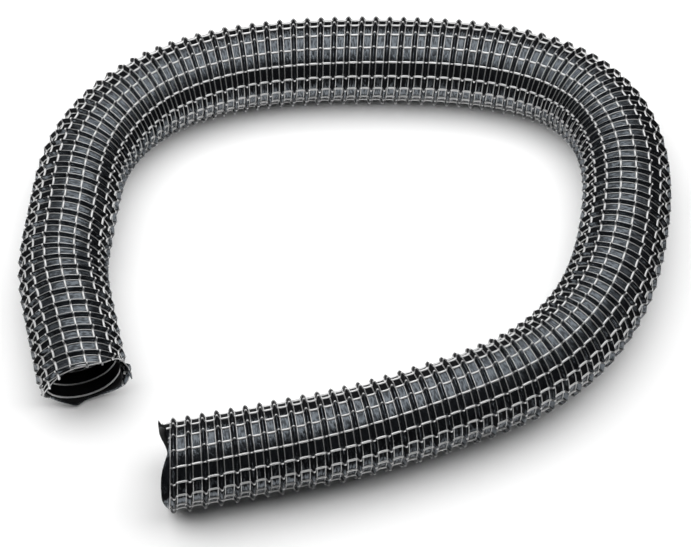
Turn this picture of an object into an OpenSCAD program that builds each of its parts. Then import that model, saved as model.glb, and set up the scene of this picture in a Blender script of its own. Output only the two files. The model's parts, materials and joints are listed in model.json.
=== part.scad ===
// Flexible vacuum hose with a spring wire wound inside its rib, lying in an open loop.
// A thin inner ply makes the bore, a left-handed wire helix keeps it round, and an outer ply is
// drawn over the wire as one sharp helical rib with a flat valley between its turns.

/* [Bore] */
// Diameter of the clear bore at both cut ends
bore_d = 38; // [32:1:44]
// Thickness of the inner ply at the bore ends
inner_wall = 0.35; // [0.3:0.05:0.8]
// Gap between the inner ply and the outer ply
ply_gap = 0.15; // [0.1:0.05:0.4]
// Length of the straight round bore at each cut end
mouth_length = 44; // [30:1:44]

/* [Rib] */
// Thickness of the outer ply in the valleys
outer_wall = 0.45; // [0.4:0.05:0.9]
// Height of the rib above the valley
rib_height = 2.5; // [2:0.1:4]
// Width of the rib at its foot
rib_width = 3.4; // [3:0.1:4.4]
// Spacing of the rib's turns along the taut side of the film
rib_pitch = 7.2; // [6.8:0.1:10]
// Distance from the centreline to the line of film that keeps its length in a bend
taut_offset = 13; // [0:1:18]

/* [Wire] */
// Diameter of the spring wire
wire_d = 1.1; // [0.8:0.1:1.4]
// Height of the wire's axis above the valley
wire_rise = 0.4; // [0.3:0.1:0.6]

/* [Hidden] */

// Points of the route on the floor, in order from the first mouth to the last. A smooth curve
// passes near them, and it runs straight beside the points that lie in a line at both ends.
route = [[-131, -131], [-86, -122], [-41, -113], [4, -104], [50, -88], [95, -70], [128, -34],
    [141, 12], [145, 60], [124, 98], [80, 114], [32, 117], [-15, 117], [-62, 112], [-106, 94],
    [-134, 58], [-137, 21], [-142, -11], [-137, -33], [-132, -55], [-127, -77], [-122, -99]];
spans = len(route) - 3;
samples_per_span = 24;

// Flat faces round the rib, the wire's turns and the inner ply
rib_sides = 10;
inner_sides = 16;
wire_sides = 3;
rib_flat = cos(180 / rib_sides);
inner_flat = cos(180 / inner_sides);
// Rings of the smooth tubes: one to this much length, and one more to this much turning
ring_length = 28;
ring_turn = 8;
// Depth of the flat that the rib's crests are pressed to where they meet the floor
foot_flat = 0.5;
// Plain margin before the first turn of the rib and after the last, in turns
end_margin = 0.06;
// Overrun of a cutter past the face that it cuts
cut_over = 1;

// Radii of the corners of each faceted tube, from the bore outwards
bore_r = bore_d / 2;
inner_bore_r = bore_r - 0.05;
inner_outer_r = (bore_r + inner_wall) / inner_flat;
outer_inner_r = (inner_outer_r + ply_gap) / rib_flat;
valley_r = outer_inner_r + outer_wall;
crest_r = valley_r + rib_height;
wire_axis_r = valley_r + wire_rise;
axis_height = crest_r * rib_flat - foot_flat;

// Running sums of a list, starting from nothing
function running(steps) =
    [for (i = 0, sum = 0; i <= len(steps); sum = sum + (i < len(steps) ? steps[i] : 0), i = i + 1) sum];

// Cubic spline through the route: weights of four neighbouring points, and of their slopes
function weights(t) =
    [pow(1 - t, 3), 3 * pow(t, 3) - 6 * t * t + 4, -3 * pow(t, 3) + 3 * t * t + 3 * t + 1, pow(t, 3)] / 6;
function slopes(t) =
    [-pow(1 - t, 2), 3 * t * t - 4 * t, -3 * t * t + 2 * t + 1, t * t] / 2;
function blend(w, k) =
    w[0] * route[k] + w[1] * route[k + 1] + w[2] * route[k + 2] + w[3] * route[k + 3];
function span_of(u) = min(floor(u), spans - 1);
function place(u) = blend(weights(u - span_of(u)), span_of(u));
function slope(u) = blend(slopes(u - span_of(u)), span_of(u));
function heading(u) = slope(u) / norm(slope(u));

// Length, turning and taut length of the route up to each sample
samples = spans * samples_per_span;
sample_u = [for (i = [0 : samples]) i / samples_per_span];
sample_place = [for (u = sample_u) place(u)];
sample_heading = [for (u = sample_u) heading(u)];
step_length = [for (i = [1 : samples]) norm(sample_place[i] - sample_place[i - 1])];
step_turn = [for (i = [1 : samples]) abs(asin(cross(sample_heading[i - 1], sample_heading[i])))];
step_taut = step_length + step_turn * taut_offset * PI / 180;
step_ring = step_length / ring_length + step_turn / ring_turn;
taut_sum = running(step_taut);
ring_sum = running(step_ring);
taut_table = [for (i = [0 : samples]) [taut_sum[i], sample_u[i]]];
ring_table = [for (i = [0 : samples]) [ring_sum[i], sample_u[i]]];

// Turns of the rib, with the pitch stretched a little so that they fill the route
turns = round(taut_sum[samples] / rib_pitch);
turn_taut = taut_sum[samples] / turns;
foot_turn = rib_width / rib_pitch / 2;
function u_at_turn(turn) = lookup(turn * turn_taut, taut_table);

// Places along the route of the smooth tubes' rings
ring_count = ceil(ring_sum[samples]);
ring_u = [for (k = [0 : ring_count]) lookup(k * ring_sum[samples] / ring_count, ring_table)];

// A point of a tube round the route: its radius, and its angle from the top to the left of travel
function tube_point(u, r, angle) =
    let (p = place(u), h = heading(u), across = r * sin(angle))
    [p.x - h.y * across, p.y + h.x * across, max(0, axis_height + r * cos(angle))];
function corner_angle(j, sides) = (j + 0.5) * 360 / sides;

// Two triangles for a four-cornered face, its corners in turn as seen from outside
function quad(a, b, c, d) = [[a, b, c], [a, c, d]];
function joined(lists) = [for (list = lists) for (item = list) item];

// Rings of a smooth tube, and the faces between them: outward, or inward for a hole
function ring_points(r, sides) =
    [for (u = ring_u) for (j = [0 : sides - 1]) tube_point(u, r, corner_angle(j, sides))];
function ring_faces(sides, base, outward) =
    joined([for (k = [0 : ring_count - 1]) for (j = [0 : sides - 1])
        let (a = base + k * sides + j, b = base + k * sides + (j + 1) % sides)
        outward ? quad(a, b, b + sides, a + sides) : quad(b, a, a + sides, b + sides)]);
// The flat face of a cut end, between an outer ring and an inner ring of as many corners
function end_faces(sides, outer, inner, first) =
    joined([for (j = [0 : sides - 1])
        let (k = (j + 1) % sides)
        first ? quad(outer + k, outer + j, inner + j, inner + k)
            : quad(outer + j, outer + k, inner + k, inner + j)]);

// The rib's helix: each turn of rib_sides steps has a near foot, a crest and a far foot
rib_steps = floor((turns - 2 * (end_margin + foot_turn)) * rib_sides);
function rib_turn(m) = end_margin + foot_turn + m / rib_sides;
function rib_row(m) =
    let (turn = rib_turn(m), angle = corner_angle(m, rib_sides))
    [tube_point(u_at_turn(turn - foot_turn), valley_r, angle),
        tube_point(u_at_turn(turn), crest_r, angle),
        tube_point(u_at_turn(turn + foot_turn), valley_r, angle)];
rib_points = joined([for (m = [0 : rib_steps]) rib_row(m)]);
function near_foot(m) = 3 * m;
function crest(m) = 3 * m + 1;
function far_foot(m) = 3 * m + 2;

// Corners of the two cut ends at the valley's radius, and of the hole through the outer ply
first_end = len(rib_points);
last_end = first_end + rib_sides;
hole = last_end + rib_sides;
function end_points(u) =
    [for (j = [0 : rib_sides - 1]) tube_point(u, valley_r, corner_angle(j, rib_sides))];
outer_points = joined([rib_points, end_points(0), end_points(spans), ring_points(outer_inner_r, rib_sides)]);
last_hole = hole + ring_count * rib_sides;

// Flanks of the rib, and the valley between one turn's far foot and the next turn's near foot
flank_faces = joined([for (m = [0 : rib_steps - 1])
    joined([quad(near_foot(m), near_foot(m + 1), crest(m + 1), crest(m)),
        quad(crest(m), crest(m + 1), far_foot(m + 1), far_foot(m))])]);
valley_faces = joined([for (m = [0 : rib_steps - rib_sides - 1])
    quad(far_foot(m), far_foot(m + 1), near_foot(m + rib_sides + 1), near_foot(m + rib_sides))]);

// Valley from each cut end to the first or last turn, closed beside the rib's blunt start and end
full = rib_sides;
final = rib_steps;
first_faces = joined([
    joined([for (j = [0 : full - 2]) quad(first_end + j, first_end + j + 1, near_foot(j + 1), near_foot(j))]),
    [[near_foot(full - 1), far_foot(0), near_foot(full)],
        [near_foot(full - 1), near_foot(0), far_foot(0)],
        [near_foot(full - 1), first_end, near_foot(0)],
        [near_foot(full - 1), first_end + full - 1, first_end],
        [near_foot(0), crest(0), far_foot(0)]]]);
function last_corner(m) = last_end + m % full;
last_faces = joined([
    joined([for (m = [final - full + 1 : final - 1])
        quad(far_foot(m), far_foot(m + 1), last_corner(m + 1), last_corner(m))]),
    [[far_foot(final - full + 1), near_foot(final), far_foot(final - full)],
        [far_foot(final - full + 1), far_foot(final), near_foot(final)],
        [far_foot(final - full + 1), last_corner(final), far_foot(final)],
        [far_foot(final - full + 1), last_corner(final + 1), last_corner(final)],
        [far_foot(final), crest(final), near_foot(final)]]]);

outer_faces = joined([flank_faces, valley_faces, first_faces, last_faces,
    ring_faces(rib_sides, hole, false),
    end_faces(rib_sides, first_end, hole, true),
    end_faces(rib_sides, last_end, last_hole, false)]);

// The frame's origin lies on the floor under the middle of the outer ply
low_corner = [for (i = [0 : 1]) min([for (p = outer_points) p[i]])];
high_corner = [for (i = [0 : 1]) max([for (p = outer_points) p[i]])];
middle = (low_corner + high_corner) / 2;

// The wire follows the rib's crest line inside the rib, as one unbroken tube
wire_r = wire_d / 2;
function wire_ring(m) =
    let (u = u_at_turn(rib_turn(m)), h = heading(u), angle = corner_angle(m, rib_sides))
    [for (k = [0 : wire_sides - 1])
        let (lift = wire_r * cos(k * 360 / wire_sides), along = wire_r * sin(k * 360 / wire_sides))
        tube_point(u, wire_axis_r + lift, angle) + along * [h.x, h.y, 0]];
wire_points = joined([for (m = [0 : rib_steps]) wire_ring(m)]);
wire_last = rib_steps * wire_sides;
wire_faces = joined([
    joined([for (m = [0 : rib_steps - 1]) for (k = [0 : wire_sides - 1])
        let (a = m * wire_sides + k, b = m * wire_sides + (k + 1) % wire_sides)
        quad(a, a + wire_sides, b + wire_sides, b)]),
    [[for (k = [0 : wire_sides - 1]) k], [for (k = [wire_sides - 1 : -1 : 0]) wire_last + k]]]);

// Least distance between neighbouring turns of the wire, less its thickness
wire_gap = min([for (m = [0 : rib_steps - rib_sides])
    norm(wire_points[(m + rib_sides) * wire_sides] - wire_points[m * wire_sides])]) - wire_d;
echo(turns = turns, route_length = running(step_length)[samples], wire_gap = wire_gap);

// A cutter along a straight end of the route, from outside the mouth to the end of the round bore
module mouth_cutter(u, inwards) {
    turned = heading(u) * inwards;
    translate([place(u).x, place(u).y, axis_height])
        rotate([0, 90, atan2(turned.y, turned.x)])
            translate([0, 0, -cut_over])
                cylinder(h = mouth_length + cut_over, d = bore_d, $fn = 96);
}

module inner_ply() {
    last_ring = ring_count * inner_sides;
    bore_base = (ring_count + 1) * inner_sides;
    points = joined([ring_points(inner_outer_r, inner_sides), ring_points(inner_bore_r, inner_sides)]);
    faces = joined([ring_faces(inner_sides, 0, true), ring_faces(inner_sides, bore_base, false),
        end_faces(inner_sides, 0, bore_base, true),
        end_faces(inner_sides, last_ring, bore_base + last_ring, false)]);
    color("dimgray")
        difference() {
            polyhedron(points, faces);
            mouth_cutter(0, 1);
            mouth_cutter(spans, -1);
        }
}

module wire_helix() {
    color("silver") polyhedron(wire_points, wire_faces);
}

module outer_ply() {
    color("#1c1d20") polyhedron(outer_points, outer_faces);
}

translate([-middle.x, -middle.y, 0]) {
    inner_ply();
    wire_helix();
    outer_ply();
}
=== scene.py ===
# %% [markdown]
# # A ribbed vacuum hose
#
# This hose is a length of soft tube that keeps its round shape in a tight bend. A spring wire is
# wound inside it, a film is drawn over the wire into one sharp helical rib, and pale yarns are
# bonded into the film: two that run round with the rib, and seventeen that run along the hose. One
# more yarn shows on the lining.
#
# Every part of it follows one curve, so the lesson is about one idea: work out a point on the hose
# from how many turns along it lies, its angle round the hose and its distance from the middle.
# Geometry Nodes then make each piece out of that one sum. The frame brings the hose's plain solids,
# and the pieces made here take their place.
#
# Places along the hose are counted in turns of the rib from the first cut end. Angles round it are
# counted from the top, and are positive to the left of someone who walks along it from that end.

import json
import math

import bpy
import numpy as np
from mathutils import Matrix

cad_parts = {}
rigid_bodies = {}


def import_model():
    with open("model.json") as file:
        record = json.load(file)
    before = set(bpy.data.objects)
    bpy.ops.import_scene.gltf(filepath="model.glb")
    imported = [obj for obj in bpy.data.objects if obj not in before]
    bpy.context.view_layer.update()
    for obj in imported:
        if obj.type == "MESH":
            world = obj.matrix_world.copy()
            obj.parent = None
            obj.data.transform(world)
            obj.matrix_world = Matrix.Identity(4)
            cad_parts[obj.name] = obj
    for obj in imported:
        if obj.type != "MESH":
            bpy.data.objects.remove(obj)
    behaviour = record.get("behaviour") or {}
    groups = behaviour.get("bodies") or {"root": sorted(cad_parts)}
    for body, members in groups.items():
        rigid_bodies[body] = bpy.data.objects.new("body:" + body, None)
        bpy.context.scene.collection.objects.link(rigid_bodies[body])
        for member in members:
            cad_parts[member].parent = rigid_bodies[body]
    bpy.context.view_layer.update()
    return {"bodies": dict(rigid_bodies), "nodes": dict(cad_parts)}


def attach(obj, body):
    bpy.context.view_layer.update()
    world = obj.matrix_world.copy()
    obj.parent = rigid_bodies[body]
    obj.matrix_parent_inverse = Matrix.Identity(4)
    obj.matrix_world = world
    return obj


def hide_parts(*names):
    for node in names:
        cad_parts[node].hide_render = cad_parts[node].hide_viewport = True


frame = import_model()
scene = bpy.context.scene
print("The frame's nodes:", sorted(frame["nodes"]))

# %% [markdown]
# ## Sizes
#
# Blender works in metres. The hose's sizes are easier to read in millimetres, so they are written
# in millimetres and multiplied by one value.

# %% Sizes of the hose
MM = 0.001
TURNS = 118  # turns of the rib from one cut end to the other
PITCH = 7.2 * MM  # from one turn of the rib to the next on a straight hose
RIB_HEIGHT = 2.3 * MM
CREST_RADIUS = 22.5 * MM
VALLEY_RADIUS = CREST_RADIUS - RIB_HEIGHT
CREST_AT_TOP = -0.104  # how far past each whole turn the crest lies at the top of the hose, in turns
BORE_RADIUS = 19.0 * MM
FILM = 0.35 * MM  # how thick each ply is
AXIS_HEIGHT = 22.3 * MM  # of the hose's middle above the floor
FLOOR_GAP = 0.05 * MM  # a rib pressed flat on the floor stays this far above it
YARNS = 17  # lengthwise yarns round the hose
FIRST_YARN = -10  # angle of the first of them at the first cut end, in degrees
print(f"The hose is {2 * CREST_RADIUS / MM:.0f} mm wide over the rib")
print(f"and {2 * VALLEY_RADIUS / MM:.1f} mm wide between its turns")

# %% [markdown]
# ## Camera
#
# The camera looks down at the loop. It could stand close with a wide lens, but then the near side of
# the loop would look much larger than the far side. From 1.5 m away they are almost the same size,
# and a lens of 153 mm on a 36 mm sensor narrows the view to the loop.

# %% Camera
LOOK_AT = (-1.04 * MM, 1.65 * MM, 0.0)
CAMERA_ABOVE = math.radians(58.5)
CAMERA_AWAY = 1487.6 * MM
SENSOR = 36  # millimetres, as the lens
LENS = 153.17
camera_data = bpy.data.cameras.new("camera")
camera_data.sensor_width = SENSOR
camera_data.lens = LENS
camera = bpy.data.objects.new("camera", camera_data)
camera.location = (LOOK_AT[0], LOOK_AT[1] - CAMERA_AWAY * math.cos(CAMERA_ABOVE),
                   CAMERA_AWAY * math.sin(CAMERA_ABOVE))
camera.rotation_euler = (math.pi / 2 - CAMERA_ABOVE, 0, 0)
scene.collection.objects.link(camera)
scene.camera = camera
print("The camera stands at", [round(c, 3) for c in camera.location])

# %% [markdown]
# ## Sums on sockets
#
# A node tree is a sum drawn as boxes. It reads better as a sum, so this class wraps a socket, and
# `a + b` on two of them adds a Math node and gives back its result. Any other node comes from
# `node`, which sets the node's own settings first and then its sockets.

# %% A socket that can be reckoned with
class Flow:
    """A socket of a node tree. Sums of flows add Math nodes, and node adds any other node."""

    def __init__(self, tree, socket=None, end=None):
        self.tree = tree
        self.socket = socket
        self.end = end

    def node(self, kind, settings=None, inputs=None, output=0):
        """Add a node, set it up, and give back one of its outputs.

        Each input takes a value or a flow, and one that joins several links takes a list of flows.
        """
        made = self.tree.nodes.new(kind)
        for name, value in (settings or {}).items():
            setattr(made, name, value)
        for key, value in (inputs or {}).items():
            for one in value if isinstance(value, list) else [value]:
                if isinstance(one, Flow):
                    self.tree.links.new(one.socket, made.inputs[key])
                else:
                    made.inputs[key].default_value = one
        return Flow(self.tree, made.outputs[output] if made.outputs else None, made)

    def also(self, output):
        """Another output of the same node."""
        return Flow(self.tree, self.socket.node.outputs[output])

    def to(self, source, name):
        """Link a flow into the node that this flow stands for."""
        self.tree.links.new(source.socket, self.end.inputs[name])

    def math(self, operation, *others):
        """A Math node on this and the others."""
        return self.node("ShaderNodeMath", {"operation": operation}, dict(enumerate((self, *others))))

    def vector(self, operation, *values, scale=None):
        """A Vector Math node on these values."""
        inputs = dict(enumerate(values))
        if scale is not None:
            inputs["Scale"] = scale
        return self.node("ShaderNodeVectorMath", {"operation": operation}, inputs)

    def __add__(self, other):
        return self.math("ADD", other)

    def __sub__(self, other):
        return self.math("SUBTRACT", other)

    def __mul__(self, other):
        return self.math("MULTIPLY", other)

    def __truediv__(self, other):
        return self.math("DIVIDE", other)

    __radd__ = __add__
    __rmul__ = __mul__

    def __rsub__(self, other):
        return self.node("ShaderNodeMath", {"operation": "SUBTRACT"}, {0: other, 1: self})

    def __rtruediv__(self, other):
        return self.node("ShaderNodeMath", {"operation": "DIVIDE"}, {0: other, 1: self})

    def above(self, other):
        """1 where this is more than other, and 0 elsewhere."""
        return self.math("GREATER_THAN", other)

    def below(self, other):
        """1 where this is less than other, and 0 elsewhere."""
        return self.math("LESS_THAN", other)

    def kept_in(self, low, high):
        """This, or the nearer limit where it lies outside the two."""
        return self.math("MINIMUM", high).math("MAXIMUM", low)

    def blend(self, low, high):
        """low where this is 0 and high where it is 1, for numbers."""
        return self.node("ShaderNodeMix", {"data_type": "FLOAT"}, {0: self, 2: low, 3: high})

    def xyz(self):
        """The three parts of a vector."""
        parts = self.node("ShaderNodeSeparateXYZ", inputs={0: self})
        return parts, parts.also(1), parts.also(2)


# %% [markdown]
# ## The route
#
# The hose lies in an open loop. A cubic spline runs smoothly near a few points on the floor, and
# straight where they lie in a line at both cut ends. Blender's own curves could draw such a line, but
# here its points also have to be spaced by a rule, which is plainer as a sum.
#
# The rib's turns aren't evenly spaced along the middle of the hose. In a bend the film on the outside
# is drawn taut and keeps its length, so the turns crowd together at the middle and more so on the
# inside. The route is therefore cut into steps of equal parts of a turn, each measured along a line
# that lies on the outside of the bend.

# %% Route points
# Millimetres on the floor, from the first cut end round the loop to the last. The points at both
# ends of the list only steer the spline.
ROUTE = [(-131, -131), (-86, -122), (-41, -113), (4, -104), (50, -88), (95, -70), (128, -34),
         (141, 12), (145, 60), (124, 98), (80, 114), (32, 117), (-15, 117), (-62, 112),
         (-106, 94), (-134, 58), (-137, 21), (-142, -11), (-137, -33), (-132, -55), (-127, -77),
         (-122, -99)]
ROUTE_MIDDLE = (1.036, -1.6474)  # the point of the floor that is the frame's origin
STEPS_PER_SPAN = 200


def spline_weights(t):
    """How much each of four neighbouring points counts, at t from 0 to 1 between the middle two."""
    return np.stack([(1 - t) ** 3,
                     3 * t**3 - 6 * t**2 + 4,
                     -3 * t**3 + 3 * t**2 + 3 * t + 1,
                     t**3], 1) / 6


points = (np.array(ROUTE, float) - ROUTE_MIDDLE) * MM
share = np.linspace(0, 1, STEPS_PER_SPAN, endpoint=False)
spans = [spline_weights(share) @ points[k:k + 4] for k in range(len(points) - 3)]
line = np.concatenate(spans + [spline_weights(np.ones(1)) @ points[-4:]])
print(f"{len(ROUTE)} points steer a line of {len(line)}")

# %% The taut line
TAUT_OFFSET = 13.0 * MM  # from the middle of the hose to the taut line of its film
step = np.diff(line, axis=0)
length = np.linalg.norm(step, axis=1)
bearing = np.unwrap(np.arctan2(step[:, 1], step[:, 0]))
turning = np.abs(np.diff(bearing, append=bearing[-1]))
taut = np.concatenate([[0], np.cumsum(length + turning * TAUT_OFFSET)])
print(f"The route is {length.sum() / MM:.1f} mm long, and {taut[-1] / MM:.1f} mm along the taut line")

# %% [markdown]
# ## Slip and twist
#
# A hose that has been used is never quite even. Its turns have slipped a little along it, and its film
# is twisted, so the lengthwise yarns wind slowly round it. A random shake would look nervous, because
# real wear changes slowly from turn to turn. A few rows give it, and the samples of the route carry
# it, so every piece that is laid on the route slips alike.

# %% Slip and twist
# Each row is a turn, how many turns it has slipped along the hose, and the film's twist in degrees.
WEAR = [(0, 0, 0), (8, -0.23, 3), (14, 0, 8), (20, 0.31, 12), (28, 0.79, 16), (38, 1.15, 20),
        (48, 1.13, 24), (57, 0.63, 27), (68, 0.54, 27), (82, 0.44, 30), (90, 0.30, 33),
        (98, 0.20, 43), (106, 0.14, 49), (118, 0.26, 60)]
worn_at, slipped, twisted = np.array(WEAR, float).T
print(f"The turns have slipped by up to {abs(slipped).max():.2f} turns")
print(f"and the film is twisted by {twisted[-1]:.0f} degrees from one end to the other")

# %% Route in steps of a turn
STEPS_PER_TURN = 12  # samples of the route
LEAD = 2  # turns of route beyond each cut end, on which cut yarns lie
ON_ROUTE = (-LEAD, TURNS + LEAD - 0.1)  # the first and the last turn at which a piece may lie
pace = taut[-1] / TURNS
spare = 2 * LEAD * pace  # how far the line is drawn out straight at each end
ways = np.stack([np.cos(bearing), np.sin(bearing)], 1)
long_line = np.concatenate([line[:1] - ways[:1] * spare, line, line[-1:] + ways[-1:] * spare])
along = np.concatenate([[-spare], taut, [taut[-1] + spare]])  # of each point of long_line
turns = np.arange(-LEAD * STEPS_PER_TURN, (TURNS + LEAD) * STEPS_PER_TURN + 1) / STEPS_PER_TURN
wanted = (turns + np.interp(turns, worn_at, slipped)) * pace  # how far along each sample lies
middle = np.stack([np.interp(wanted, along, long_line[:, k]) for k in range(2)], 1)
heading = np.interp(wanted, (taut[1:] + taut[:-1]) / 2, bearing)
twist = np.radians(np.interp(turns, worn_at, twisted))
print(f"{len(middle)} samples, about {pace / STEPS_PER_TURN / MM:.2f} mm apart along the taut line")

# %% Samples that a node tree can read
route_mesh = bpy.data.meshes.new("route")
route_mesh.from_pydata([(x, y, 0) for x, y in middle], [], [])
ahead = np.stack([np.cos(heading), np.sin(heading), 0 * heading], 1)
route_mesh.attributes.new("heading", "FLOAT_VECTOR", "POINT").data.foreach_set("vector", ahead.ravel())
route_mesh.attributes.new("twist", "FLOAT", "POINT").data.foreach_set("value", twist)
route = bpy.data.objects.new("route", route_mesh)
scene.collection.objects.link(route)
print("Each sample carries its place, its heading and its twist")

# %% [markdown]
# ## Light
#
# The film is black and glossy, so what is seen of it is mostly a reflection. A softbox that hangs
# over the loop and reaches far behind it gives a pale band along the upper side of the hose, which
# ends sharply where the film begins to mirror the dark room in front. A wider and much dimmer lamp
# round the softbox, the halo, keeps the arms of the loop from going black at their sides. The key
# lamp lights the pale yarns and the floor and casts the soft shadows.
#
# Each lamp does only its own work: the softbox and the halo are seen in reflections alone, and the
# key lamp is left out of them. So the shadows can be softened without a change to the gloss.

# %% Lamps
# Each lamp is its left, front, right and back edges and its height in metres, and how bright its face
# is, where white paper that lies in full light is 1.
SOFTBOX = (-0.42, -0.125, 0.47, 1.3, 0.6, 1.6)
HALO = (-1.6, -0.125, 1.7, 1.3, 0.6, 0.35)
KEY = (-1.1, -0.27, 0.8, 0.45, 0.58, 2.65)


def lamp(name, left, front, right, back, height, glow):
    """A rectangular lamp that faces down.

    A face of brightness 1 gives off pi watts for each square metre.
    """
    data = bpy.data.lights.new(name, "AREA")
    data.shape = "RECTANGLE"
    data.size = right - left
    data.size_y = back - front
    data.energy = glow * math.pi * data.size * data.size_y
    made = bpy.data.objects.new(name, data)
    made.location = ((left + right) / 2, (front + back) / 2, height)
    made.visible_camera = False
    scene.collection.objects.link(made)
    print(f"{name}: {data.size:.1f} by {data.size_y:.1f} m, {data.energy:.0f} W")
    return made


softbox = lamp("softbox", *SOFTBOX)
softbox.visible_diffuse = False
halo = lamp("halo", *HALO)
halo.visible_diffuse = False
key = lamp("key", *KEY)
key.visible_glossy = False

# %% Room
ROOM = 0.035  # how bright the room is where no lamp hangs
room = bpy.data.worlds.new("room")
room.use_nodes = True
room.node_tree.nodes["Background"].inputs["Color"].default_value = (1, 1, 1, 1)
room.node_tree.nodes["Background"].inputs["Strength"].default_value = ROOM
scene.world = room
scene.view_settings.view_transform = "Standard"
print("The room's brightness is", ROOM)

# %% Floor
BOARD = (-0.9, -0.9, 0.215, 0.2)  # left, front, right and back edges in metres
left, front, right, back = BOARD
corners = [(left, front, 0), (right, front, 0), (right, back, 0), (left, back, 0)]
floor_mesh = bpy.data.meshes.new("floor")
floor_mesh.from_pydata(corners, [], [(0, 1, 2, 3)])
floor = bpy.data.objects.new("floor", floor_mesh)
scene.collection.objects.link(floor)
print(f"The floor is {right - left:.2f} by {back - front:.2f} m")

# %% [markdown]
# ## Finishes
#
# The film is a soft black plastic with a slight gloss and fine creases that run round the hose. Dust
# and scuffs dull it down its sides. The yarns are pale polyester. Between the ribs they lie bare, on
# the sides of the rib the fold covers most of them, and on its crest they show again.
#
# The creases could be modelled, but they are finer than the grid of the film, so a noise draws them
# for a Bump node. Every piece carries two attributes that such patterns read. `rib` is how high up
# the rib a point lies, from 0 to 1. `skin` is where the point would be on a straight hose, so that
# the creases follow the hose round a bend.

# %% Parts of a material
def material(name, build):
    """A material of the shader that build makes."""
    made = bpy.data.materials.new(name)
    made.use_nodes = True
    made.node_tree.nodes.clear()
    flow = Flow(made.node_tree)
    flow.node("ShaderNodeOutputMaterial").to(build(flow), "Surface")
    print("Finish:", name)
    return made


def shader(flow, **inputs):
    """A Principled shader. Its sockets are named with _ for each space."""
    spaced = {name.replace("_", " "): value for name, value in inputs.items()}
    return flow.node("ShaderNodeBsdfPrincipled", inputs=spaced)


def colour(flow, amount, low, high):
    """The colour low where amount is 0, and high where it is 1."""
    return flow.node("ShaderNodeMix", {"data_type": "RGBA"}, {0: amount, 6: low, 7: high}, 2)


def attribute(flow, name, output="Fac"):
    """A value that the points carry, as a material reads it."""
    return flow.node("ShaderNodeAttribute", {"attribute_name": name}, output=output)


def noise(flow, scale, detail=2.0, at=None):
    """Noise from 0 to 1 with about this many patches to a metre, or to one unit of at."""
    where = at or flow.node("ShaderNodeTexCoord", output="Object")
    return flow.node("ShaderNodeTexNoise", inputs={"Vector": where, "Scale": scale, "Detail": detail})


def ramp(flow, value, low, high):
    """0 where value is at or past low, 1 at or past high, and smooth between them."""
    return flow.node("ShaderNodeMapRange", {"interpolation_type": "SMOOTHSTEP"},
                     {"Value": value, "From Min": low, "From Max": high})


def bump(flow, height, strength, distance):
    """A normal that is tilted as if the surface rose with height."""
    return flow.node("ShaderNodeBump",
                     inputs={"Strength": strength, "Distance": distance, "Height": height})


# %% Film
CREASES = (300, 300, 1100)  # patches to a metre, two ways across the hose and along it
SPECKS = 900.0  # patches of fine wear to a metre
NO_SHINE = {"Roughness": 0.6, "Specular_IOR_Level": 0.04}


def film_finish(flow):
    """Black film, glossy along the top of the hose and dulled by dust and scuffs down its sides."""
    skin = attribute(flow, "skin", "Vector")
    creases = noise(flow, 1.0, 3.0, flow.vector("MULTIPLY", skin, CREASES))
    worn = noise(flow, SPECKS, 3.0)
    dark = colour(flow, worn, (0.002, 0.0022, 0.0026, 1), (0.005, 0.0053, 0.0065, 1))
    up, _, _ = skin.xyz()
    upward = up / VALLEY_RADIUS  # 1 at the top of the hose and 0 halfway down its sides
    # Scuffs dull a strip on each side of the top. The top itself is dull only where it is seen aslant,
    # and the creases dull fine lines everywhere.
    scuffed = ramp(flow, upward, 0.75, 0.5) * ramp(flow, upward, 0.1, 0.3) * 0.8
    aslant = flow.node("ShaderNodeLayerWeight", inputs={"Blend": 0.5}, output="Facing")
    mirroring = ramp(flow, aslant, 0.3, 0.5) * ramp(flow, upward, 0.1, 0.4)
    dulled = (scuffed + ramp(flow, creases, 0.44, 0.6) * 0.7 + mirroring).kept_in(0, 1)
    glossy = shader(flow, Base_Color=dark, Roughness=worn.blend(0.12, 0.22), IOR=1.75,
                    Specular_IOR_Level=1.0, Specular_Tint=(0.80, 0.90, 1.0, 1),
                    Normal=bump(flow, creases, 1.0, 0.4 * MM))
    dull = shader(flow, Base_Color=dark, **NO_SHINE)
    return flow.node("ShaderNodeMixShader", inputs={0: dulled, 1: glossy, 2: dull})


film_material = material("outer_film", film_finish)

# %% Yarns
COVERED = 0.75  # how much of a yarn the fold hides on the sides of the rib


def grey(paleness):
    """The grey of this paleness as a colour."""
    return (paleness, paleness, paleness, 1)


def yarn_finish(flow, bare, over):
    """Glossy pale yarn, of the paleness bare between the ribs and over on top of them."""
    rib = attribute(flow, "rib")
    patch = noise(flow, 700.0, 2.0)
    # Painted highlight: the yarn is paler from the foot of the rib up than in the middle between the
    # ribs, standing in for the glints where it crosses the hoop yarns. The noise patches add real uneven
    # tone.
    foot_glint = ramp(flow, rib, -0.03, 0.03)  # 0 between the ribs, and 1 from the foot of a rib up
    worn = colour(flow, foot_glint * 0.7 + patch * 0.3, grey(bare * 0.8), grey(min(bare * 1.25, 0.95)))
    pale = colour(flow, ramp(flow, rib, 0.3, 0.8), worn, grey(over))
    yarn = shader(flow, Base_Color=pale, Roughness=patch.blend(0.4, 0.25), IOR=2.4,
                  Specular_IOR_Level=1.0, Coat_Weight=1.0, Coat_Roughness=0.2, Coat_IOR=2.0)
    film = shader(flow, Base_Color=(0.02, 0.02, 0.022, 1), **NO_SHINE)
    hidden = ramp(flow, rib, 0.08, 0.3) * ramp(flow, rib, 0.9, 0.7) * COVERED
    return flow.node("ShaderNodeMixShader", inputs={0: hidden, 1: yarn, 2: film})


yarn_material = material("length_yarn", lambda flow: yarn_finish(flow, bare=0.54, over=0.48))
hoop_material = material("hoop_yarn", lambda flow: yarn_finish(flow, bare=0.2, over=0.2))
lining_yarn_material = material("lining_yarn", lambda flow: yarn_finish(flow, bare=0.95, over=0.95))

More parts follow.
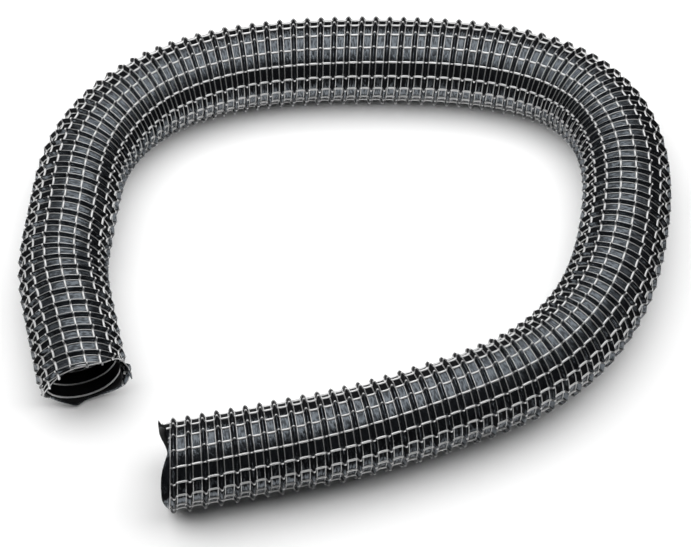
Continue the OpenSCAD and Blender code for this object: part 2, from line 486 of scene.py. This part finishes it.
# %% Lining, wire and floor
def lining_finish(flow):
    """The same black film, without the gloss."""
    worn = noise(flow, SPECKS, 3.0)
    dark = colour(flow, worn, (0.004, 0.004, 0.005, 1), (0.009, 0.009, 0.010, 1))
    return shader(flow, Base_Color=dark, Roughness=worn.blend(0.4, 0.55), Specular_IOR_Level=0.15)


def wire_finish(flow):
    """Bright drawn wire, a little duller in patches."""
    drawn = noise(flow, 2500.0, 2.0)
    bright = colour(flow, drawn, (0.45, 0.45, 0.46, 1), (0.60, 0.60, 0.61, 1))
    return shader(flow, Base_Color=bright, Roughness=drawn.blend(0.28, 0.42), Metallic=1.0)


def board_finish(flow):
    """The plain white board that the hose lies on."""
    return shader(flow, Base_Color=grey(0.98), Roughness=noise(flow, 20.0).blend(0.7, 0.8),
                  Specular_IOR_Level=0.2)


lining_material = material("inner_film", lining_finish)
wire_material = material("spring_wire", wire_finish)
floor.data.materials.append(material("floor", board_finish))

# %% [markdown]
# ## Trees
#
# Each piece below is a flat grid or a line whose points are moved onto the hose by a Geometry Nodes
# tree. Python could move the points as well, but a tree keeps each step and each size in view in the
# node editor. Every tree starts with its named inputs and ends in the same few nodes, so two helpers
# do that. The result is kept as a plain mesh, because instances and modifiers don't travel well.

# %% The start and the end of a tree
SOCKETS = {"Object": "NodeSocketObject", "Material": "NodeSocketMaterial", "float": "NodeSocketFloat",
           "int": "NodeSocketInt"}


def start_tree(name, values):
    """A tree with these named inputs: its flow, and a flow from each input."""
    tree = bpy.data.node_groups.new(name, "GeometryNodeTree")
    for label, value in values.items():
        tree.interface.new_socket(name=label, in_out="INPUT", socket_type=SOCKETS[type(value).__name__])
    tree.interface.new_socket(name="Geometry", in_out="OUTPUT", socket_type="NodeSocketGeometry")
    start = tree.nodes.new("NodeGroupInput")
    return Flow(tree), {label: Flow(tree, start.outputs[label]) for label in values}


def made_by(flow, result, values, inputs, name):
    """Run a tree once with its values, and keep the plain mesh that it makes as a new object.

    A modifier knows its inputs by their identifiers, so each value is set by that.
    """
    shaded = flow.node("GeometryNodeSetShadeSmooth", inputs={"Geometry": result})
    real = flow.node("GeometryNodeRealizeInstances", inputs={"Geometry": shaded})
    painted = flow.node("GeometryNodeSetMaterial",
                        inputs={"Geometry": real, "Material": inputs["Material"]})
    flow.node("NodeGroupOutput").to(painted, 0)
    holder = bpy.data.objects.new(name + "_tree", bpy.data.meshes.new(name + "_tree"))
    scene.collection.objects.link(holder)
    modifier = holder.modifiers.new(name, "NODES")
    modifier.node_group = flow.tree
    for item in flow.tree.interface.items_tree:
        if item.in_out == "INPUT":
            modifier[item.identifier] = values[item.name]
    mesh = bpy.data.meshes.new_from_object(holder.evaluated_get(bpy.context.evaluated_depsgraph_get()))
    mesh.name = name
    bpy.data.objects.remove(holder)
    piece = bpy.data.objects.new(name, mesh)
    scene.collection.objects.link(piece)
    triangles = sum(len(face.vertices) - 2 for face in mesh.polygons)
    print(f"{name}: {triangles} triangles")
    return piece


# %% Values that points carry
def points_of(flow, source):
    """The geometry of a guide object."""
    return flow.node("GeometryNodeObjectInfo", {"transform_space": "ORIGINAL"}, {"Object": source},
                     "Geometry")


def sampled(flow, geometry, value, index, kind="FLOAT_VECTOR"):
    """The value that a geometry's point of this index has."""
    return flow.node("GeometryNodeSampleIndex", {"data_type": kind},
                     {"Geometry": geometry, "Value": value, "Index": index})


def named(flow, name, kind="FLOAT"):
    """A value that the points carry, as a tree reads it."""
    return flow.node("GeometryNodeInputNamedAttribute", {"data_type": kind}, {"Name": name})


def stored(flow, geometry, name, value, kind="FLOAT"):
    """The geometry with a value that its points carry from here on."""
    return flow.node("GeometryNodeStoreNamedAttribute", {"data_type": kind, "domain": "POINT"},
                     {"Geometry": geometry, "Name": name, "Value": value})


def only_kept(flow, geometry):
    """The geometry without the points whose kept attribute is 0."""
    return flow.node("GeometryNodeDeleteGeometry", {"domain": "POINT"},
                     {"Geometry": geometry, "Selection": named(flow, "kept").below(0.5)})


# %% [markdown]
# ## A point on the hose
#
# This is the one sum that every piece uses. It finds the two samples of the route beside the point's
# turn, blends between them, and goes out from there by the radius at the point's angle. What would
# lie below the floor is pressed flat on it. The Curve modifier could bend straight pieces instead,
# but it would know nothing of the floor, the slipped turns or the pull described next.
#
# Near the first cut the film has been pulled askew: on one side its turns lie a little closer to the
# cut than their number says, and further along they lie as wound again.

# %% The film pulled askew
PULLED = (-90, 150, 0.65)  # angle and half width in degrees, and how far it is pulled in turns
PULLED_UNTIL = 6  # the turn from which the film lies as wound


def lobe(flow, angle, middle_of, half):
    """1 at this angle round the hose in degrees, going down to 0 at half a width to either side."""
    apart = (angle - math.radians(middle_of)).math("WRAP", math.pi, -math.pi)
    return ramp(flow, apart.math("ABSOLUTE") / math.radians(half), 1.0, 0.0)


def pulled(flow, turn, angle):
    """How many turns the film has been pulled toward the first cut."""
    middle_of, half, most = PULLED
    return (1 - turn / PULLED_UNTIL).kept_in(0, 1) * lobe(flow, angle, middle_of, half) * most


# %% The sum for a point
TAU = 2 * math.pi


def on_hose(flow, route_points, turn, angle, radius, lift):
    """The place of a point at this turn, angle and radius, at least lift above the floor."""
    at = ((turn - pulled(flow, turn, angle) + LEAD) * STEPS_PER_TURN).math("MAXIMUM", 0)
    first = at.math("FLOOR")
    position = flow.node("GeometryNodeInputPosition")
    bearing = named(flow, "heading", "FLOAT_VECTOR")
    centre, ahead = (
        flow.node("ShaderNodeMix", {"data_type": "VECTOR"},
                  {0: at - first, 4: sampled(flow, route_points, value, first),
                   5: sampled(flow, route_points, value, first + 1)}, 1)
        for value in (position, bearing))
    left = flow.vector("CROSS_PRODUCT", (0, 0, 1), ahead)
    height = AXIS_HEIGHT + radius * angle.math("COSINE")
    raised = flow.node("ShaderNodeCombineXYZ", inputs={2: height.math("MAXIMUM", lift)})
    aside = flow.vector("SCALE", left, scale=radius * angle.math("SINE"))
    return flow.vector("ADD", flow.vector("ADD", centre, raised), aside)


def yarn_shift(flow, route_points, turn):
    """How far round the hose the first lengthwise yarn lies at this turn."""
    at = ((turn + LEAD) * STEPS_PER_TURN).math("ROUND")
    return sampled(flow, route_points, named(flow, "twist"), at, "FLOAT") + math.radians(FIRST_YARN)


def moved(flow, geometry, route_points, turn, angle, radius, rib, lift=FLOOR_GAP):
    """Move a geometry's points onto the hose, and give each its rib and skin attributes."""
    skin = flow.node("ShaderNodeCombineXYZ", inputs={
        0: angle.math("COSINE") * VALLEY_RADIUS, 1: angle.math("SINE") * VALLEY_RADIUS, 2: turn * PITCH})
    known = stored(flow, stored(flow, geometry, "rib", rib), "skin", skin, "FLOAT_VECTOR")
    return flow.node("GeometryNodeSetPosition", inputs={
        "Geometry": known, "Position": on_hose(flow, route_points, turn, angle, radius, lift)})


# %% [markdown]
# ## The cut ends
#
# Both ends were cut with a knife. Neither cut is square, and each edge is a little ragged, so how far
# along the hose the film reaches depends on the angle round it. Each row below is a dent or a tongue
# in the edge. At the last cut the rib's fold opens out flat, and a scrap of film is left that splays
# outward.
#
# A Boolean could cut the film, but it would leave slivers along an edge like this. Here the grids run
# on past the cut, and whatever lies beyond the edge is drawn back to it, so the faces stay tidy.

# %% Where the film ends at each angle
# Each row is an angle in degrees, half of the width there in degrees, and a reach in turns.
FIRST_EDGE = [(135, 40, -0.38), (0, 55, -0.6), (40, 30, -0.22), (180, 30, 0.1), (-65, 30, 0.05),
              (-25, 35, 0.15), (-120, 50, -0.3)]
LAST_EDGE = [(-60, 60, 0.6), (0, 45, 0.28), (70, 45, -0.7), (86, 9, 0.9), (165, 60, -0.45),
             (-166, 14, 0.2), (-128, 38, -0.33)]
LAST_CUT = TURNS - 0.26  # the turn at which the last cut lies
RAGGED = 0.1  # how far the small notches reach, in turns
NOTCHES = 2.2  # about this many for each radian round the hose
print(f"The edges have {len(FIRST_EDGE)} and {len(LAST_EDGE)} dents and tongues")


def reach(flow, angle, rows, seed):
    """How far the film reaches beyond its nominal end at this angle, in turns."""
    around = flow.node("ShaderNodeCombineXYZ", inputs={
        0: angle.math("COSINE"), 1: angle.math("SINE"), 2: seed})
    total = noise(flow, NOTCHES, 3.0, around) * RAGGED - RAGGED / 2
    for middle_of, half, far in rows:
        total = total + lobe(flow, angle, middle_of, half) * far
    return total


def cut_turns(flow, angle):
    """The turn at which the film starts and the turn at which it stops, at this angle."""
    first_reach = reach(flow, angle, FIRST_EDGE, seed=0.0)
    last_reach = reach(flow, angle, LAST_EDGE, seed=7.0)
    return 0.0 - first_reach, LAST_CUT + last_reach


# %% The opened fold and the scrap
FLAT_FROM = 0.25  # turns before the last edge at which the rib's fold begins to open
OPENED = (-100, 80)  # angle and half width in degrees at which it begins one turn earlier
SCRAP = (84, 45)  # angle and half width in degrees of the film that splays outward
SPLAY = 4.0 * MM  # how far it stands outward for each turn along the hose
SPLAY_FROM = 1.0  # turns before the last cut at which it begins to splay
SPLAY_OVER = 0.8  # turns over which it splays


def fold(flow, turn, angle, stop):
    """1 where the rib's fold stands up, going down to 0 where it opens at the last cut."""
    opened = lobe(flow, angle, *OPENED) + FLAT_FROM
    return ((stop - turn) / opened).kept_in(0, 1)


def splayed(flow, turn, angle, per_turn):
    """How far outward the film stands beside the scrap at the last cut."""
    return (turn - LAST_CUT + SPLAY_FROM).kept_in(0, SPLAY_OVER) * lobe(flow, angle, *SCRAP) * per_turn


# %% [markdown]
# ## The outer film
#
# The film is the main piece: one closed skin. The Screw modifier winds a profile into a helix, but
# only round a straight axis. So a grid has one row for each step along the helix and a few columns
# across the rib's profile. Bent round the route, each turn's last column meets the next turn's first,
# and Merge by Distance sews them into one sheet.
#
# A second, plain grid is the back of the film, and the two meet in the rims of the cut ends. Its
# columns run round the hose where those of the first run along it, so its faces point the other way,
# into the bore, and the whole skin faces outward.

# %% The rib's profile
# Each point is a distance from the crest line in turns, and a height in parts of the rib's height.
PROFILE = [(-0.5, -0.04), (-0.3, -0.03), (-0.16, 0.1), (-0.08, 0.5), (-0.022, 0.98),
           (0.022, 0.98), (0.08, 0.5), (0.16, 0.1), (0.3, -0.03), (0.5, -0.04)]
profile_mesh = bpy.data.meshes.new("rib_profile")
profile_mesh.from_pydata([(x, y, 0) for x, y in PROFILE], [], [])
profile = bpy.data.objects.new("rib_profile", profile_mesh)
scene.collection.objects.link(profile)
foot = max(x for x, y in PROFILE if y > 0)
print(f"The rib is {2 * foot * PITCH / MM:.1f} mm wide at its foot")

# %% The film's two grids
SIDES = 72  # steps round the hose
DIMPLE = 0.15 * MM  # how far the film sinks in between two lengthwise yarns
EXTRA = 1  # turns of the grid beyond each cut end, which are drawn back to the cut
SEAM = 0.003 * MM  # points that lie closer than this are sewn together


def grid_of(flow, across, along):
    """A grid whose points know their column and row as whole numbers."""
    grid = flow.node("GeometryNodeMeshGrid", inputs={"Size X": across - 1, "Size Y": along - 1,
                                                     "Vertices X": across, "Vertices Y": along})
    x, y, _ = flow.node("GeometryNodeInputPosition").xyz()
    column, row = x + (across - 1) / 2, y + (along - 1) / 2
    return grid, column.math("ROUND"), row.math("ROUND")


def smooth_radius(flow, turn, angle, route_points, inputs):
    """The film between the ribs, drawn in a little between the lengthwise yarns."""
    phase = (angle - yarn_shift(flow, route_points, turn)) * YARNS
    return inputs["Valley radius"] - (0.5 - 0.5 * phase.math("COSINE")) * inputs["Dimple"]


def ribbed_face(flow, inputs, route_points, profile_points):
    """The film's outer face, with the rib."""
    grid, column, row = grid_of(flow, len(PROFILE), (TURNS + 2 * EXTRA) * SIDES + 1)
    position = flow.node("GeometryNodeInputPosition")
    offset, height, _ = sampled(flow, profile_points, position, column).xyz()
    angle = (row.math("MODULO", SIDES) / SIDES - CREST_AT_TOP) * TAU
    free_turn = row / SIDES - EXTRA + offset
    start, stop = cut_turns(flow, angle)
    inside = free_turn.above(start) * free_turn.below(stop)
    turn = free_turn.kept_in(start, stop)
    height = height * fold(flow, free_turn, angle, stop) * inside
    splay = splayed(flow, turn, angle, inputs["Splay"])
    smooth = smooth_radius(flow, turn, angle, route_points, inputs)
    radius = smooth + height * inputs["Rib height"] + splay
    return moved(flow, grid, route_points, turn, angle, radius, height)


def plain_face(flow, inputs, route_points, rows):
    """The film's inner face, whose first and last rows lie on the rims of the outer face."""
    grid, column, row = grid_of(flow, SIDES + 1, rows)
    angle = (column.math("MODULO", SIDES) / SIDES - CREST_AT_TOP) * TAU
    start, stop = cut_turns(flow, angle)
    turn = ((row - 1) / (rows - 3)).kept_in(0, 1).blend(start, stop)
    on_rim = row.below(0.5) + row.above(rows - 1.5)
    splay = splayed(flow, turn, angle, inputs["Splay"])
    outer = smooth_radius(flow, turn, angle, route_points, inputs)
    radius = on_rim.blend(inputs["Valley radius"] - inputs["Wall"], outer) + splay
    return moved(flow, grid, route_points, turn, angle, radius, 0.0)


# %% Outer film
values = {"Route": route, "Rib profile": profile, "Material": film_material,
          "Valley radius": VALLEY_RADIUS, "Rib height": RIB_HEIGHT, "Dimple": DIMPLE, "Wall": FILM,
          "Splay": SPLAY}
flow, inputs = start_tree("outer film", values)
route_points = points_of(flow, inputs["Route"])
outer_face = ribbed_face(flow, inputs, route_points, points_of(flow, inputs["Rib profile"]))
inner_face = plain_face(flow, inputs, route_points, TURNS)
both = flow.node("GeometryNodeJoinGeometry", inputs={0: [outer_face, inner_face]})
sewn = flow.node("GeometryNodeMergeByDistance", inputs={"Geometry": both, "Distance": SEAM})
outer_film = made_by(flow, sewn, values, inputs, "outer_film")

# %% [markdown]
# ## Threads that run round with the rib
#
# One pale yarn lies at each foot of the rib, another shows on the lining, and the spring wire lies in
# the rib's fold. They could be painted on the film, but real yarn stands up from it and catches the
# light. Each is a line of points that is moved onto the helix, cut where the film ends and given a
# round section by Curve to Mesh.

# %% A helical thread
CUT_GAP = 0.04  # turns by which a thread stops short of the film's edge
EDGE_GAP = 0.03  # turns between the film's edge and a loose thread that follows it


def tube_along(flow, curve, inputs, scale=1.0):
    """A curve as a closed tube with the tree's thread radius and sides."""
    section = flow.node("GeometryNodeCurvePrimitiveCircle", inputs={
        "Resolution": inputs["Sides"], "Radius": inputs["Thread radius"]})
    return flow.node("GeometryNodeCurveToMesh", inputs={
        "Curve": curve, "Profile Curve": section, "Scale": scale, "Fill Caps": True})


def helix_thread(name, finish, offset, out, thread_radius, sides, steps, loose=0.0):
    """A thread wound with the rib, so many turns from the crest and so far from the hose's middle.

    Where it is loose it doesn't end at the last cut, but follows the film's edge for that many turns.
    """
    values = {"Route": route, "Material": finish, "Offset": offset, "Distance out": out,
              "Thread radius": thread_radius, "Sides": sides}
    flow, inputs = start_tree(name, values)
    count = (TURNS + 2 * EXTRA) * steps + 1
    points = flow.node("GeometryNodeMeshLine", inputs={"Count": count, "Offset": (1, 0, 0)})
    index = flow.node("GeometryNodeInputIndex")
    angle = (index.math("MODULO", steps) / steps - CREST_AT_TOP) * TAU
    turn = index / steps - EXTRA + inputs["Offset"]
    start, stop = cut_turns(flow, angle)
    kept = turn.above(start + CUT_GAP) * turn.below(stop - CUT_GAP + loose)
    turn = turn.math("MINIMUM", stop - EDGE_GAP)
    out_here = splayed(flow, turn, angle, SPLAY) + inputs["Distance out"]
    wound = moved(flow, stored(flow, points, "kept", kept), points_of(flow, inputs["Route"]),
                  turn.kept_in(*ON_ROUTE), angle, out_here, 0.0)
    curve = flow.node("GeometryNodeMeshToCurve", inputs={"Mesh": only_kept(flow, wound)})
    return made_by(flow, tube_along(flow, curve, inputs), values, inputs, name)


# %% Hoop yarns, lining yarn and spring wire
HOOP_OFFSET = 0.22  # turns from the crest to the yarn at each foot of the rib
near_hoop_yarn, far_hoop_yarn = (
    helix_thread(name, hoop_material, offset, out=VALLEY_RADIUS + 0.2 * MM, thread_radius=0.33 * MM,
                 sides=5, steps=48, loose=0.5)
    for name, offset in (("near_hoop_yarn", -HOOP_OFFSET), ("far_hoop_yarn", HOOP_OFFSET)))
lining_yarn = helix_thread("lining_yarn", lining_yarn_material, offset=-0.3, out=BORE_RADIUS - 0.25 * MM,
                           thread_radius=0.5 * MM, sides=4, steps=36)
spring_wire = helix_thread("spring_wire", wire_material, offset=0.0, out=VALLEY_RADIUS + 0.7 * MM,
                           thread_radius=0.48 * MM, sides=7, steps=36)

# %% [markdown]
# ## Yarns that run along the hose
#
# Seventeen yarns lie lengthwise. Each climbs over every turn of the rib, so its points take their
# offsets and heights from the same profile as the film. One line is drawn and Duplicate Elements
# numbers its copies, which is simpler than a loop that draws seventeen. At the first cut the yarns
# begin near the first whole hoop yarn, and at the last cut they stick out by uneven lengths.

# %% Sizes of the lengthwise yarns
LENGTH_YARN = 0.7 * MM  # radius of a yarn between the ribs
ON_CREST = 0.55  # how much of it is left where the yarn is drawn thin over the crest
YARN_OUT = 0.12 * MM  # from the film's face to the middle of a yarn
YARN_LIFT = 0.45 * MM  # of the middle of a yarn that is pressed on the floor
STAND_OFF = 0.1  # how far a yarn stands off the sides of the rib, in parts of its height
STRAY = 0.35  # how far the longest yarn end sticks out, in turns
STRAY_STEP = 0.37  # moves each end on by this share of STRAY, and round again, so that they lie uneven
STRAY_SIDE = (-20, 150)  # angle and half width in degrees of the side on which the ends stick out
HOOP_MARGIN = 0.08  # turns before the first whole hoop at which the yarns begin
EARLY = (60, 60)  # angle and half width in degrees at which they begin sooner
EARLY_BY = 0.4  # turns by which they do
PER_TURN = len(PROFILE) - 1
print(f"Each yarn has {PER_TURN} points for each turn of the rib")

# %% Where each yarn begins and ends
def yarn_ends(flow, angle, number, start, stop):
    """The turns at which the yarn of this number begins and ends."""
    stray = (number * STRAY_STEP).math("FRACT") * STRAY * lobe(flow, angle, *STRAY_SIDE)
    round_once = angle.math("WRAP", math.pi, -math.pi) / TAU
    first_hoop = round_once + (CREST_AT_TOP + 1 - HOOP_OFFSET - HOOP_MARGIN)
    first_hoop = first_hoop - lobe(flow, angle, *EARLY) * EARLY_BY
    return first_hoop.math("MAXIMUM", start - stray * 0.5), stop + stray


# %% Lengthwise yarns
values = {"Route": route, "Rib profile": profile, "Material": yarn_material,
          "Valley radius": VALLEY_RADIUS, "Rib height": RIB_HEIGHT, "Thread radius": LENGTH_YARN,
          "Sides": 4, "Yarns": YARNS}
flow, inputs = start_tree("length yarns", values)
route_points = points_of(flow, inputs["Route"])
profile_points = points_of(flow, inputs["Rib profile"])
points = flow.node("GeometryNodeMeshLine", inputs={"Count": (TURNS + 3) * PER_TURN, "Offset": (1, 0, 0)})
one = flow.node("GeometryNodeMeshToCurve", inputs={"Mesh": points})
many = flow.node("GeometryNodeDuplicateElements", {"domain": "SPLINE"},
                 {"Geometry": one, "Amount": inputs["Yarns"]})
numbered = stored(flow, many, "number", many.also(1))
number = named(flow, "number")
position = flow.node("GeometryNodeInputPosition")
index, _, _ = position.xyz()
index = index.math("ROUND")
offset, height, _ = sampled(flow, profile_points, position, index.math("MODULO", PER_TURN)).xyz()
rib_number = index / PER_TURN
angle = number * (TAU / YARNS) + yarn_shift(flow, route_points, rib_number - 1)
turn = rib_number.math("FLOOR") - 1 + offset + CREST_AT_TOP + angle / TAU
begins, ends = yarn_ends(flow, angle, number, *cut_turns(flow, angle))
kept = turn.above(begins) * turn.below(ends)
height = height * fold(flow, turn, angle, ends)
standing_off = height * (1 - height) * 4 * STAND_OFF
radius = inputs["Valley radius"] + (height + standing_off) * inputs["Rib height"] + YARN_OUT
laid = moved(flow, stored(flow, numbered, "kept", kept), route_points, turn.kept_in(*ON_ROUTE), angle,
             radius, height, lift=YARN_LIFT)
drawn_thin = named(flow, "rib").blend(1.0, ON_CREST)
tubes = tube_along(flow, only_kept(flow, laid), inputs, drawn_thin)
length_yarns = made_by(flow, tubes, values, inputs, "length_yarns")

# %% [markdown]
# ## The inner film
#
# The lining is a closed tube with a thin wall. Solidify could give a tube its wall, but one grid makes
# all of it in the same sum: its rows run along the bore and back along the outside, and its first and
# last rows meet at one rim. It stops a little short of the outer film, and the scrap at the last cut
# is outer film alone.

# %% Lining
LINING_SIDES = 48
BORE_ROWS = TURNS * 3 + 1
BACK_ROWS = TURNS + 1
LINING_GAP = 0.05  # turns by which the lining stops short of the outer film
LINING_END = LAST_CUT + 0.1  # the turn past which there is no lining
values = {"Route": route, "Material": lining_material, "Bore radius": BORE_RADIUS, "Wall": FILM}
flow, inputs = start_tree("inner film", values)
grid, column, row = grid_of(flow, LINING_SIDES + 1, BORE_ROWS + BACK_ROWS + 1)
angle = column.math("MODULO", LINING_SIDES) / LINING_SIDES * TAU
start, stop = cut_turns(flow, angle)
returning = row.above(BORE_ROWS - 0.5)
last_row = row.above(BORE_ROWS + BACK_ROWS - 0.5)
going_share = (row / (BORE_ROWS - 1)).kept_in(0, 1)
back_share = ((BORE_ROWS + BACK_ROWS - 1 - row) / (BACK_ROWS - 1)).kept_in(0, 1)
lining_stop = stop.math("MINIMUM", LINING_END) - LINING_GAP
turn = returning.blend(going_share, back_share).blend(start + LINING_GAP, lining_stop)
radius = inputs["Bore radius"] + returning * (1 - last_row) * inputs["Wall"]
laid = moved(flow, grid, points_of(flow, inputs["Route"]), turn, angle, radius, 0.0)
sewn = flow.node("GeometryNodeMergeByDistance", inputs={"Geometry": laid, "Distance": SEAM})
inner_film = made_by(flow, sewn, values, inputs, "inner_film")

# %% [markdown]
# ## Hand over the pieces
#
# The route and the profile were only guides, so they go. Each piece rides on the hose's one body, and
# the frame's plain solids that the pieces replace are hidden.

# %% Ride and replace
for guide in (route, profile):
    bpy.data.objects.remove(guide)
body = next(iter(frame["bodies"]))
yarns = [near_hoop_yarn, far_hoop_yarn, lining_yarn, length_yarns]
for piece in (outer_film, spring_wire, inner_film, *yarns):
    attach(piece, body)
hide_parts("outer_ply")
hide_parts("wire_helix")
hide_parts("inner_ply")
print(f"{len(yarns) + 3} pieces ride on the body {body}")
